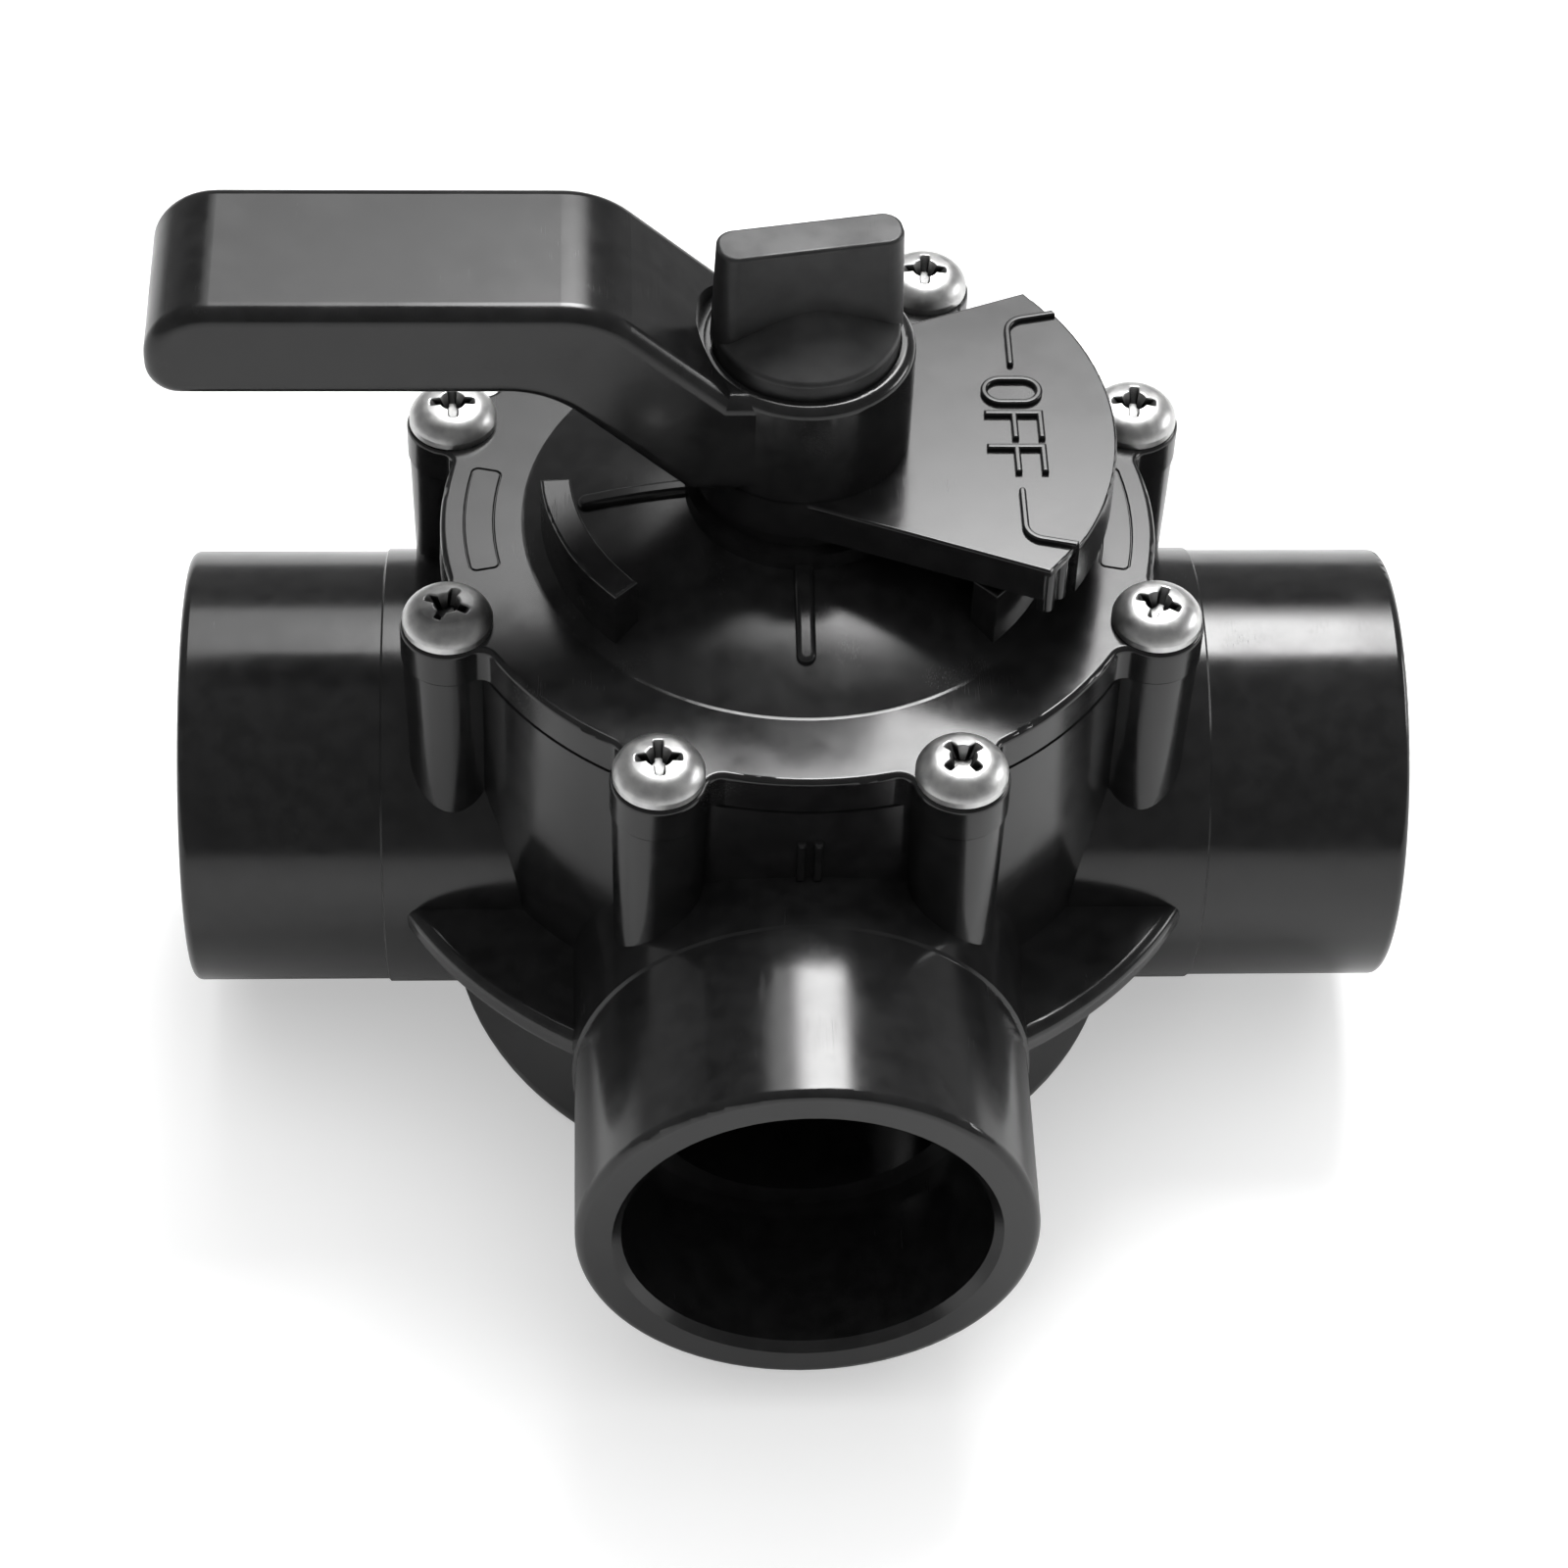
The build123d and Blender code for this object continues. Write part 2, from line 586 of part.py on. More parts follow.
def grip_recess(side):
    """Cut for the fingers under the rim's lip, up to the wing's corner."""
    height = WING_TOP_Z - GRIP_LIP - SKIRT_LOW_Z + BITE
    return extrude(Pos(0, 0, SKIRT_LOW_Z - BITE) * grip_face(side, GRIP_RECESS), height)


def grip_ridge(angle):
    """Round ridge up the recessed part of the skirt, its head under the lip."""
    x, y = polar(WING_R - GRIP_RIDGE_RECESS - GRIP_RIDGE_R, angle)
    return post(GRIP_RIDGE_R, SKIRT_LOW_Z, WING_TOP_Z - GRIP_LIP + NEARLY, x, y)


def wing_plate():
    """Sector plate with its sides, stepped back a little at the grips and round along the top."""
    outline = wing_outline() - grip_face(1, GRIP_LIP_RECESS) - grip_face(-1, GRIP_LIP_RECESS)
    plate = extrude(Pos(0, 0, WING_LOW_Z) * outline, WING_TOP_Z - WING_LOW_Z)
    plate = fillet(plate.edges().group_by(Axis.Z)[-1], WING_EDGE_ROUND)
    under = WING_TOP_Z - WING_SKIN
    return plate - extrude(Pos(0, 0, WING_LOW_Z - BITE) * wing_outline(SKIRT_WALL), under - WING_LOW_Z + BITE)


def wing():
    """Wing plate with the arc skirt, its finger grips and the lug that meets the stops."""
    half = WING_HALF_ANGLE
    skirt = arc_block(WING_R - SKIRT_WALL, WING_R, -half, half, SKIRT_LOW_Z, WING_TOP_Z - GRIP_LIP)
    plate = wing_plate() + skirt - grip_recess(1) - grip_recess(-1)
    for angle in GRIP_RIDGE_ANGLES:
        plate += grip_ridge(angle) + grip_ridge(-angle)
    return plate + block(LUG_X, (-LUG_WIDTH / 2, LUG_WIDTH / 2), (LUG_LOW_Z, WING_TOP_Z - BITE))


def raised(outline):
    """Flat shape stood on the wing's top as a fine raised mark with a round top edge."""
    mark = extrude(Pos(0, 0, WING_TOP_Z - MARK_PROUD) * outline, 2 * MARK_PROUD)
    return fillet(mark.edges().group_by(Axis.Z)[-1], MARK_ROUND)


def letter_o(foot, head, centre_y):
    """Long ring."""
    pen = 2 * MARK_WIDTH
    height = head - foot + O_EXTRA
    ring = SlotOverall(height, O_WIDTH) - SlotOverall(height - pen, O_WIDTH - pen)
    return raised(Pos((foot + head) / 2, centre_y) * ring)


def letter_f(foot, head, stem_y):
    """Stem with an arm at its head and one halfway."""
    arm_y = stem_y - F_ARM / 2
    outline = Pos((foot + head) / 2, stem_y) * Rectangle(head - foot, MARK_WIDTH)
    outline += Pos(head - MARK_WIDTH / 2, arm_y) * Rectangle(MARK_WIDTH, F_ARM)
    outline += Pos((foot + head) / 2, arm_y) * Rectangle(MARK_WIDTH, F_ARM)
    return raised(outline)


def off_word():
    """The word OFF in plain raised strokes, its letters' heads toward +X."""
    word = letter_o(*LETTER_X, O_CENTRE_Y)
    for stem_y in F_STEM_Y:
        word += letter_f(*LETTER_X, stem_y)
    return word


def frame_line(side):
    """Raised line that runs beside the word, turns a round corner and ends at the wing's rim."""
    x, y = FRAME_CORNER
    start = (x, FRAME_START_Y * side)
    end_x, end_y = polar(WING_R + MARK_WIDTH, FRAME_END_ANGLE)
    path = FilletPolyline(start, (x, y * side), (end_x, end_y * side), radius=FRAME_CORNER_ROUND)
    line = raised(trace(path, MARK_WIDTH) + Pos(*start) * Circle(MARK_WIDTH / 2))
    return line & post(WING_R - WING_EDGE_ROUND, WING_LOW_Z, HUB_TOP_Z)


def handle():
    """Lever, hub and wing in one moulding, bored for the shaft's drive and the knob."""
    hub = post(HUB_R, HUB_LOW_Z, HUB_TOP_Z)
    hub = fillet(hub.edges().group_by(Axis.Z)[-1], HUB_ROUND)
    arm = lever() - post(KNOB_POCKET_R, HUB_TOP_Z, LEVER_TOP_Z + BITE)
    arm -= post(HUB_R - BITE, WING_TOP_Z - BITE, HUB_TOP_Z)
    grip = hub + arm + post(FLANGE_R, HUB_LOW_Z, WING_TOP_Z) + wing() + off_word()
    grip += frame_line(1) + frame_line(-1)
    grip -= drive(SHAFT_R + SOCKET_GAP, DRIVE_FLAT + SOCKET_GAP, HUB_LOW_Z, SHAFT_TOP_Z + SHAFT_END_GAP)
    grip -= post(SHAFT_R + SOCKET_GAP, HUB_LOW_Z - BITE, DRIVE_Z + SHAFT_END_GAP)
    grip -= post(STUD_HOLE_R, SHAFT_TOP_Z, HUB_TOP_Z)
    return grip - post(COUNTERBORE_R, COUNTERBORE_Z, HUB_TOP_Z + BITE)


def coned_disc():
    """Knob's disc: plain side, rounded shoulder and a low cone that the tab stands on."""
    low, shoulder = KNOB_Z
    outline = Polyline((0, low), (KNOB_R, low), (KNOB_R, shoulder), (0, shoulder + KNOB_CONE), close=True)
    half = make_face(outline)
    return revolve(Plane.XZ * fillet(near(half, KNOB_R, shoulder), KNOB_ROUND), Axis.Z)


def thumb_tab():
    """Upright tab across the knob with round ends, a little shorter at its top."""
    foot, head = (RectangleRounded(length, TAB_THICK, TAB_END_ROUND) for length in TAB_LENGTH)
    tab = loft([Pos(0, 0, KNOB_Z[1] - BITE) * foot, Pos(0, 0, TAB_TOP_Z) * head])
    tab = fillet(tab.edges().group_by(Axis.Z)[-1], TAB_TOP_ROUND)
    return Rot(0, 0, TAB_TURN) * tab


def lock_knob():
    """Round knob with a thumb tab across its top."""
    return coned_disc() + thumb_tab() - post(STUD_R, KNOB_Z[0] - BITE, KNOB_Z[0] + STUD_GRIP)


def knob_washer():
    """Captive washer that turns on the stud's neck."""
    return tube(WASHER_R, STUD_NECK_R + RUNNING_GAP, COUNTERBORE_Z, KNOB_Z[0])


def knob_stud():
    """Stud moulded into the knob: grip, neck for the washer, collar and threaded end at core size."""
    low, base = STUD_LOW_Z, KNOB_Z[0]
    top = base + STUD_GRIP
    thread_top = SHAFT_TOP_Z + THREAD_RUNOUT / 2
    neck_low = COUNTERBORE_Z - RUNNING_GAP
    point = [(0, low), (THREAD_CORE_R - THREAD_POINT, low), (THREAD_CORE_R, low + THREAD_POINT)]
    collar = [(THREAD_CORE_R, thread_top), (STUD_R, thread_top + THREAD_RUNOUT), (STUD_R, neck_low)]
    neck = [(STUD_NECK_R, neck_low), (STUD_NECK_R, base), (STUD_R, base)]
    return turned(point + collar + neck + [(STUD_R, top), (0, top)])


def thrust_washer(pin_r, z_low, z_high):
    """Flat ring round the shaft or pivot that takes the rotor's end load."""
    return tube(THRUST_WASHER_R, pin_r + WASHER_GAP, z_low, z_high)


def pieces():
    """Every node's name and its solid, as the valve stands assembled."""
    cover_wire_r = (CHAMBER_R - RING_GROOVE_R) / 2
    shaft_wire_r = (SHAFT_R - SHAFT_GROOVE_R) / 2
    screw = plain_screw()
    made = {
        "valve_body": valve_body(),
        "valve_cover": valve_cover(),
        "cover_o_ring": o_ring(CHAMBER_R - cover_wire_r, cover_wire_r - WIRE_GAP, RING_Z),
        "diverter_rotor": diverter_rotor(),
        "diverter_seal": diverter_seal(),
        "upper_thrust_washer": thrust_washer(SHAFT_R, PLATE_TOP_Z[1], NECK_LOW_Z - 2 * WASHER_GAP),
        "lower_thrust_washer": thrust_washer(PIVOT_R, FLOOR_Z, PLATE_LOW_Z[0] - WASHER_GAP),
        "shaft_insert": shaft_insert(),
        "handle": handle(),
        "lock_knob": lock_knob(),
        "knob_stud": knob_stud(),
        "knob_washer": knob_washer(),
    }
    for name, z in zip(("lower", "upper"), SHAFT_RING_Z):
        made[f"shaft_o_ring_{name}"] = o_ring(SHAFT_R - shaft_wire_r, shaft_wire_r - WIRE_GAP, z)
    for number, (angle, cross_turn) in enumerate(zip(SCREW_ANGLES, CROSS_TURNS), start=1):
        made[f"cover_screw_{number}"] = cover_screw(screw, angle, cross_turn)
    return made


os.makedirs("parts", exist_ok=True)
for name, shape in pieces().items():
    shape.label = name
    export_step(shape, f"parts/{name}.step")
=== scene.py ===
"""Three way valve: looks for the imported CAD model. Metres, in the model's own frame, +Z up."""

import math

import bpy
from mathutils import Matrix, Vector


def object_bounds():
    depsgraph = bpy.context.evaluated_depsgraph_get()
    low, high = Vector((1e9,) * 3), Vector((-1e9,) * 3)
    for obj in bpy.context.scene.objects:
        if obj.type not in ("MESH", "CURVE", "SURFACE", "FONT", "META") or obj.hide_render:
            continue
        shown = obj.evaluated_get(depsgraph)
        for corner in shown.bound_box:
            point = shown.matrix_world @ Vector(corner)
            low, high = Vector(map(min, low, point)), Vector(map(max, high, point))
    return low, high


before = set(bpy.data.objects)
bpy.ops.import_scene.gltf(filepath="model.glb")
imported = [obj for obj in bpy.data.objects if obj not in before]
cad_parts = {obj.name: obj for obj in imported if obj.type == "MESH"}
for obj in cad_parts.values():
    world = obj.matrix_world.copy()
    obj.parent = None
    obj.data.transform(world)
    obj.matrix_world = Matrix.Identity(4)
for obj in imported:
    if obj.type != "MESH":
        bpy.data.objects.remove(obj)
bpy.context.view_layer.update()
MM = 0.001
MICRON = 0.001 * MM

# ---------------------------------------------------------------- camera and floor values
CAMERA_PLACE = Vector((-0.02745, -0.42716, 0.50526))
CAMERA_YAW = math.radians(3.626)
CAMERA_DOWN = math.radians(47.714)
CAMERA_ROLL = math.radians(2.469)
CAMERA_LENS = 102.5
CAMERA_CLIP = (0.01, 20)
SENSOR_WIDTH = 36.0

FLOOR_SIZE = 16.0
FLOOR_DROP = 0.05 * MM
FLOOR_LIFT = 0.40            # glow of the paper that only camera rays see
FIBRE_SIZE = 1.5 * MM
FIBRE_DEPTH = 10 * MICRON

# ---------------------------------------------------------------- light values
LIGHT_TARGET = Vector((0, 0, 0.05))
KEY_PLACE = Vector((0.005, 0.497, 0.800))
KEY_SIZE = (0.61, 0.62)
KEY_RADIANCE = 19.0
KEY_RIGHT_FADE = 0.13        # soft edges, as shares of the key's width and height
KEY_LOW_FADE = (0.13, 0.50)
KEY_HIGH_FADE = 0.10
KEY_STEP = (0.50, 0.68)      # where the key falls to its dim left part, as shares of its width
KEY_SLANT_START = 0.36       # share of the width from which the low edge rises to the left
KEY_SLANT_RISE = 0.36        # and how steeply it does
KEY_LEFT_SHARE = 0.14
KEY_LEFT_FADE = 0.17
KEY_LEFT_LOW_FADE = (0.02, 0.18)
FILL_PLACE = Vector((0, -0.1, 1.7))
FILL_SIZE = (2.2, 2.2)
FILL_RADIANCE = 1.2
STRIP_PLACE = Vector((0.76, 0.14, 0.28))
STRIP_SIZE = (0.34, 0.16)
STRIP_RADIANCE = 7.0
ROOM_GLOW = 0.15             # the room's own brightness, then what its sides and its back add
SIDE_GLOW = 0.08
BACK_GLOW = 0.08
ROOM_AMBIENT = 0.50          # the least that a matt surface gets from the room
HORIZON_FADE = (0.60, 0.15)  # where those glows begin and are full, as parts of a unit direction
SIDE_FADE = (0.35, 0.75)
BACK_FADE = (0.3, 0.8)

# ---------------------------------------------------------------- finish values
FLOW_SIZE = 22 * MM          # black plastic: the sizes of its patterns
CLOUD_SIZE = 3 * MM
SPECK_SIZE = 0.35 * MM
TOUCH_SIZE = 8 * MM
PEEL_SIZE = 5 * MM
FLOW_ROUGHNESS = 0.05        # what each pattern adds to its roughness at most
CLOUD_ROUGHNESS = 0.03
SCRATCH_ROUGHNESS = 0.08
SCRATCH_DEPTH = 0.6 * MICRON
SCRATCH_RUNS = (             # turn, length and width of the marks, and the noise level where they begin
    (0.5, 9 * MM, 0.12 * MM, 0.548),
    (2.1, 6 * MM, 0.1 * MM, 0.56),
)
SCRATCH_FULL = 0.75
SCRATCH_PATCH_SIZE = 9 * MM
DARK_SHARE, LIGHT_SHARE = 0.8, 1.25
BLUE_SHARE = 0.02
PLASTIC_IOR = 1.53
RUBBER_IOR = 1.5
RECESS_REACH = 2.6 * MM      # how far a screw's recess looks for metal that shades it, for the shade painted into its colour

WHITE = (1, 1, 1, 1)
PAPER_COLOURS = (0.69, 0.69, 0.69, 1), (0.72, 0.72, 0.72, 1)
STEEL_COLOURS = (0.62, 0.62, 0.62, 1), (0.76, 0.76, 0.75, 1)
# painted shade: the near black that the steel's colour falls to deep in the screw recesses
PAINTED_RECESS_SHADE = (0.03, 0.03, 0.03, 1)
BRASS_COLOURS = (0.62, 0.40, 0.15, 1), (0.80, 0.57, 0.26, 1)
RUBBER_COLOURS = (0.008, 0.008, 0.009, 1), (0.028, 0.028, 0.03, 1)
WASHER_COLOURS = (0.62, 0.61, 0.57, 1), (0.74, 0.73, 0.70, 1)

# sockets of a colour mix: Blender gives several of them one name
MIX_FACTOR, MIX_FIRST, MIX_SECOND, MIX_RESULT = 0, 6, 7, 2


# ---------------------------------------------------------------- node helpers
class Nodes:
    """A node tree with short calls for the nodes that the materials below need."""

    def __init__(self, tree):
        self.tree = tree
        tree.nodes.clear()

    def add(self, kind, **settings):
        node = self.tree.nodes.new(kind)
        for name, value in settings.items():
            setattr(node, name, value)
        return node

    def link(self, source, target):
        self.tree.links.new(source, target)

    def fill(self, socket, value):
        """Puts a number, a colour or another node's output into a socket."""
        if isinstance(value, bpy.types.NodeSocket):
            self.link(value, socket)
        else:
            socket.default_value = value

    def math(self, operation, *values):
        node = self.add("ShaderNodeMath", operation=operation)
        for socket, value in zip(node.inputs, values):
            self.fill(socket, value)
        return node.outputs[0]

    def spread(self, value, low, high):
        """Maps low..high to 0..1, smoothly and clamped. low may be the larger one."""
        node = self.add("ShaderNodeMapRange", interpolation_type="SMOOTHSTEP")
        for name, given in (("Value", value), ("From Min", low), ("From Max", high)):
            self.fill(node.inputs[name], given)
        return node.outputs["Result"]

    def place(self, scale=(1, 1, 1), turn=0):
        """Positions in the piece's own frame, stretched, and turned about its Z."""
        coords = self.add("ShaderNodeTexCoord")
        mapping = self.add("ShaderNodeMapping")
        mapping.inputs["Rotation"].default_value = (0, 0, turn)
        mapping.inputs["Scale"].default_value = scale
        self.link(coords.outputs["Object"], mapping.inputs["Vector"])
        return mapping.outputs["Vector"]

    def noise(self, size, detail=2.0, roughness=0.5, vector=None):
        """Noise whose lumps are about size metres across."""
        node = self.add("ShaderNodeTexNoise")
        self.link(self.place() if vector is None else vector, node.inputs["Vector"])
        node.inputs["Scale"].default_value = 1 / size
        node.inputs["Detail"].default_value = detail
        node.inputs["Roughness"].default_value = roughness
        return node.outputs["Fac"]

    def bump(self, height, depth, normal=None):
        """A normal that follows height, where 1 stands depth metres proud."""
        node = self.add("ShaderNodeBump")
        node.inputs["Strength"].default_value = 1.0
        node.inputs["Distance"].default_value = depth
        self.link(height, node.inputs["Height"])
        if normal is not None:
            self.link(normal, node.inputs["Normal"])
        return node.outputs["Normal"]

    def mix(self, factor, first, second):
        node = self.add("ShaderNodeMix", data_type="RGBA")
        self.fill(node.inputs[MIX_FACTOR], factor)
        self.fill(node.inputs[MIX_FIRST], first)
        self.fill(node.inputs[MIX_SECOND], second)
        return node.outputs[MIX_RESULT]

    def surface(self, **inputs):
        """The Principled shader with these inputs, wired to the output."""
        shader = self.add("ShaderNodeBsdfPrincipled")
        for name, value in inputs.items():
            self.fill(shader.inputs[name.replace("_", " ")], value)
        output = self.add("ShaderNodeOutputMaterial")
        self.link(shader.outputs[0], output.inputs["Surface"])


def material(name):
    made = bpy.data.materials.new(name)
    made.use_nodes = True
    return made, Nodes(made.node_tree)


# ---------------------------------------------------------------- materials
def scratches(n, turn, length, width, onset):
    """Sparse hairline marks that run along one direction: 0 off a mark, 1 on it."""
    lines = n.noise(width, detail=1.0, vector=n.place(scale=(1, width / length, 1), turn=turn))
    patches = n.noise(SCRATCH_PATCH_SIZE)
    return n.math("MULTIPLY", n.spread(lines, onset, SCRATCH_FULL), n.spread(patches, 0.5, 0.7))


def near_black(tone, share):
    """That share of a tone, very slightly blue."""
    return (tone * share, tone * share, tone * (share + BLUE_SHARE), 1)


def black_plastic(name, tone, roughness, grain, smudge=0.05, peel=3.0):
    """Moulded black plastic: flow swirls and smudges in its gloss, orange peel, grain and hairline marks.

    grain and peel are the depths of those two in microns; smudge is the roughness that handling adds.
    """
    made, n = material(name)
    flow = n.noise(FLOW_SIZE, detail=4.0)
    cloud = n.noise(CLOUD_SIZE, detail=4.0)
    speck = n.noise(SPECK_SIZE, detail=3.0)
    marks = n.math("ADD", *(scratches(n, *run) for run in SCRATCH_RUNS))
    touched = n.noise(TOUCH_SIZE, detail=5.0, roughness=0.6)
    rough = n.math("MULTIPLY_ADD", n.spread(flow, 0.3, 0.7), FLOW_ROUGHNESS, roughness - 0.02)
    rough = n.math("MULTIPLY_ADD", n.spread(touched, 0.35, 0.65), smudge, rough)
    rough = n.math("MULTIPLY_ADD", cloud, CLOUD_ROUGHNESS, rough)
    rough = n.math("MULTIPLY_ADD", marks, SCRATCH_ROUGHNESS, rough)
    colour = n.mix(n.spread(cloud, 0.3, 0.7), near_black(tone, DARK_SHARE), near_black(tone, LIGHT_SHARE))
    normal = n.bump(n.noise(PEEL_SIZE, detail=1.0), peel * MICRON)
    normal = n.bump(speck, grain * MICRON, normal)
    normal = n.bump(marks, -SCRATCH_DEPTH, normal)
    n.surface(Base_Color=colour, Roughness=rough, IOR=PLASTIC_IOR, Normal=normal)
    return made


def steel(name):
    """Zinc plated steel: bright, softly tumbled and a little uneven, with shade painted into its colour
    deep in its recess.
    """
    made, n = material(name)
    cloud = n.noise(1.6 * MM, detail=4.0)
    speck = n.noise(0.18 * MM, detail=3.0)
    open_share = n.add("ShaderNodeAmbientOcclusion", only_local=True, samples=8)
    open_share.inputs["Distance"].default_value = RECESS_REACH
    bright = n.mix(n.spread(cloud, 0.3, 0.7), *STEEL_COLOURS)
    # painted shade: the colour falls to near black where ambient occlusion finds metal close round it,
    # deep in the recess
    colour = n.mix(n.spread(open_share.outputs["AO"], 0.35, 0.92), PAINTED_RECESS_SHADE, bright)
    rough = n.math("MULTIPLY_ADD", cloud, 0.16, 0.32)
    n.surface(Base_Color=colour, Metallic=1.0, Roughness=rough, Normal=n.bump(speck, 4 * MICRON))
    return made


def brass(name):
    made, n = material(name)
    cloud = n.noise(1.2 * MM, detail=4.0)
    rough = n.math("MULTIPLY_ADD", cloud, 0.2, 0.2)
    n.surface(Base_Color=n.mix(cloud, *BRASS_COLOURS), Metallic=1.0, Roughness=rough,
              Normal=n.bump(cloud, 3 * MICRON))
    return made


def rubber(name):
    """Seal rubber: nearly black, matt, with a fine moulded skin."""
    made, n = material(name)
    cloud = n.noise(2.5 * MM, detail=5.0)
    speck = n.noise(0.15 * MM)
    rough = n.math("MULTIPLY_ADD", cloud, 0.2, 0.5)
    n.surface(Base_Color=n.mix(cloud, *RUBBER_COLOURS), Roughness=rough, IOR=RUBBER_IOR,
              Normal=n.bump(speck, 6 * MICRON))
    return made


def washer_plastic(name):
    """Low friction washer: waxy off-white plastic."""
    made, n = material(name)
    cloud = n.noise(3 * MM, detail=4.0)
    rough = n.math("MULTIPLY_ADD", cloud, 0.15, 0.35)
    n.surface(Base_Color=n.mix(cloud, *WASHER_COLOURS), Roughness=rough, Subsurface_Weight=0.15,
              Subsurface_Scale=2 * MM, Normal=n.bump(cloud, 10 * MICRON))
    return made


def dress_nodes():
    """Gives each CAD node the finish of its slot. The cover and the knob have duller ones of their own."""
    finishes = {
        "body_plastic": black_plastic("body_black", 0.010, 0.12, 1.2),
        "handle_plastic": black_plastic("handle_black", 0.008, 0.13, 2.2, smudge=0.08),
        "rotor_plastic": black_plastic("rotor_black", 0.02, 0.28, 2.5),
        "seal_rubber": rubber("seal_black"),
        "washer_plastic": washer_plastic("washer_white"),
        "insert_brass": brass("insert_brass_metal"),
        "screw_steel": steel("screw_zinc"),
    }
    own = {
        "lock_knob": black_plastic("knob_black", 0.014, 0.32, 3.5, smudge=0.16),
        "valve_cover": black_plastic("cover_black", 0.008, 0.15, 2.0, smudge=0.06),
    }
    for name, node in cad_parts.items():
        for slot in node.material_slots:
            slot.material = own.get(name) or finishes[slot.material.name.split(".")[0]]


# ---------------------------------------------------------------- studio
def floor_material():
    made, n = material("paper_floor")
    fibre = n.noise(FIBRE_SIZE, detail=5.0)
    lift = n.math("MULTIPLY", n.add("ShaderNodeLightPath").outputs["Is Camera Ray"], FLOOR_LIFT)
    n.surface(Base_Color=n.mix(fibre, *PAPER_COLOURS), Roughness=0.75, Specular_IOR_Level=0.15,
              Normal=n.bump(fibre, FIBRE_DEPTH), Emission_Color=WHITE, Emission_Strength=lift)
    return made


def make_floor():
    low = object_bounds()[0].z - FLOOR_DROP
    half = FLOOR_SIZE / 2
    mesh = bpy.data.meshes.new("floor")
    corners = [(-half, -half, low), (half, -half, low), (half, half, low), (-half, half, low)]
    mesh.from_pydata(corners, [], [(0, 1, 2, 3)])
    floor = bpy.data.objects.new("floor", mesh)
    bpy.context.scene.collection.objects.link(floor)
    mesh.materials.append(floor_material())


def softbox(name, place, size, radiance):
    """A rectangular light that faces the valve and isn't seen by the camera."""
    data = bpy.data.lights.new(name, "AREA")
    data.shape = "RECTANGLE"
    data.size, data.size_y = size
    data.energy = radiance * math.pi * size[0] * size[1]
    aim = (place - LIGHT_TARGET).normalized()
    across = Vector((0, 0, 1)).cross(aim).normalized()
    light = bpy.data.objects.new(name, data)
    light.matrix_world = Matrix((across, aim.cross(across), aim)).transposed().to_4x4()
    light.matrix_world.translation = place
    light.visible_camera = False
    bpy.context.scene.collection.objects.link(light)
    return light


def fade_key(data):
    """Dims the key towards its edges and over its left part. Its own x axis points to -X."""
    data.use_nodes = True
    n = Nodes(data.node_tree)
    split = n.add("ShaderNodeSeparateXYZ")
    n.link(n.add("ShaderNodeNewGeometry").outputs["Parametric"], split.inputs[0])
    across, up = split.outputs[0], split.outputs[1]
    left = n.math("MULTIPLY", n.spread(across, 1, 1 - KEY_LEFT_FADE), KEY_LEFT_SHARE)
    left = n.math("MULTIPLY", left, n.spread(up, *KEY_LEFT_LOW_FADE))
    past_start = n.math("MAXIMUM", n.math("SUBTRACT", across, KEY_SLANT_START), 0)
    above_slant = n.math("SUBTRACT", up, n.math("MULTIPLY", past_start, KEY_SLANT_RISE))
    main_part = n.math("MULTIPLY", n.spread(across, KEY_STEP[1], KEY_STEP[0]),
                       n.spread(above_slant, *KEY_LOW_FADE))
    both = n.math("MULTIPLY_ADD", main_part, 1 - KEY_LEFT_SHARE, left)
    share = n.math("MULTIPLY", n.spread(across, 0, KEY_RIGHT_FADE), both)
    share = n.math("MULTIPLY", share, n.spread(up, 1, 1 - KEY_HIGH_FADE))
    glow = n.add("ShaderNodeEmission")
    n.link(share, glow.inputs["Strength"])
    n.link(glow.outputs[0], n.add("ShaderNodeOutputLight").inputs["Surface"])


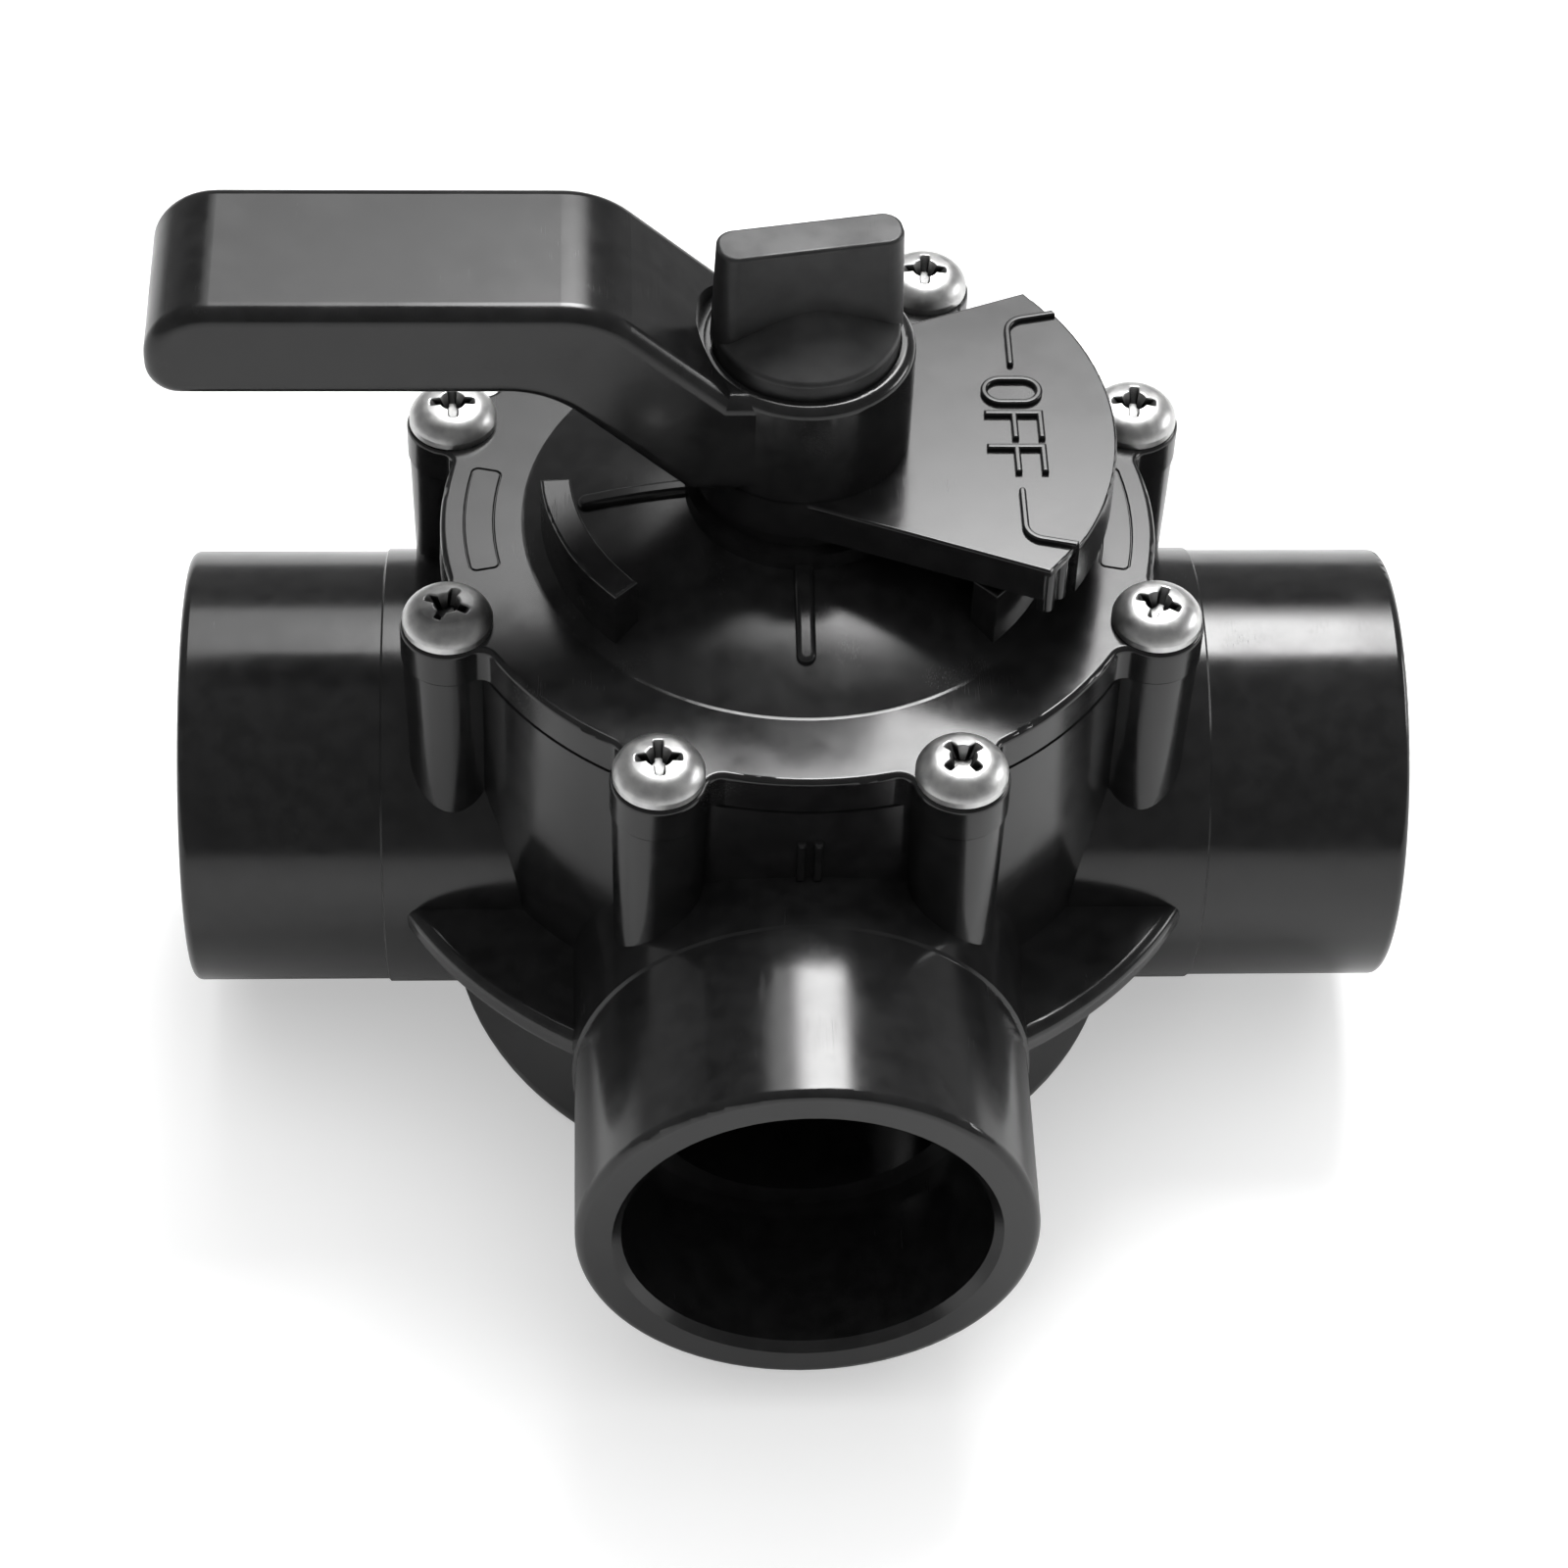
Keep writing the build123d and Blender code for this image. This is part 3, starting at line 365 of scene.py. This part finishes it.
def room_glow(n):
    """The pale room round the valve: brighter near the horizon at both sides and behind."""
    split = n.add("ShaderNodeSeparateXYZ")
    n.link(n.add("ShaderNodeTexCoord").outputs["Generated"], split.inputs[0])
    along, back, up = split.outputs
    low = n.spread(n.math("ABSOLUTE", up), *HORIZON_FADE)
    sides = n.math("MULTIPLY", n.spread(n.math("ABSOLUTE", along), *SIDE_FADE), SIDE_GLOW)
    behind = n.math("MULTIPLY", n.spread(back, *BACK_FADE), BACK_GLOW)
    return n.math("MULTIPLY_ADD", low, n.math("ADD", sides, behind), ROOM_GLOW)


def make_world():
    """The room as the world's light. Camera rays see it plain white."""
    world = bpy.data.worlds.new("studio")
    bpy.context.scene.world = world
    world.use_nodes = True
    n = Nodes(world.node_tree)
    background = n.add("ShaderNodeBackground")
    background.inputs["Color"].default_value = WHITE
    path = n.add("ShaderNodeLightPath")
    ambient = n.math("MULTIPLY", path.outputs["Is Diffuse Ray"], ROOM_AMBIENT)
    strength = n.math("MAXIMUM", room_glow(n), ambient)
    n.link(n.math("MAXIMUM", path.outputs["Is Camera Ray"], strength), background.inputs["Strength"])
    n.link(background.outputs[0], n.add("ShaderNodeOutputWorld").inputs["Surface"])


def make_lights():
    key = softbox("key", KEY_PLACE, KEY_SIZE, KEY_RADIANCE)
    fade_key(key.data)
    fill = softbox("fill", FILL_PLACE, FILL_SIZE, FILL_RADIANCE)
    fill.visible_glossy = False
    softbox("strip", STRIP_PLACE, STRIP_SIZE, STRIP_RADIANCE)


def make_camera():
    level_share = math.cos(CAMERA_DOWN)
    forward = Vector((math.sin(CAMERA_YAW) * level_share, math.cos(CAMERA_YAW) * level_share,
                      -math.sin(CAMERA_DOWN)))
    level = Vector((math.cos(CAMERA_YAW), -math.sin(CAMERA_YAW), 0))
    above = level.cross(forward)
    right = math.cos(CAMERA_ROLL) * level + math.sin(CAMERA_ROLL) * above
    up = math.cos(CAMERA_ROLL) * above - math.sin(CAMERA_ROLL) * level
    data = bpy.data.cameras.new("camera")
    data.lens = CAMERA_LENS
    data.sensor_width = SENSOR_WIDTH
    data.clip_start, data.clip_end = CAMERA_CLIP
    camera = bpy.data.objects.new("camera", data)
    camera.matrix_world = Matrix((right, up, -forward)).transposed().to_4x4()
    camera.matrix_world.translation = CAMERA_PLACE
    bpy.context.scene.collection.objects.link(camera)
    bpy.context.scene.camera = camera


def main():
    bpy.context.scene.view_settings.view_transform = "Standard"
    make_camera()
    make_lights()
    make_world()
    make_floor()
    dress_nodes()


main()
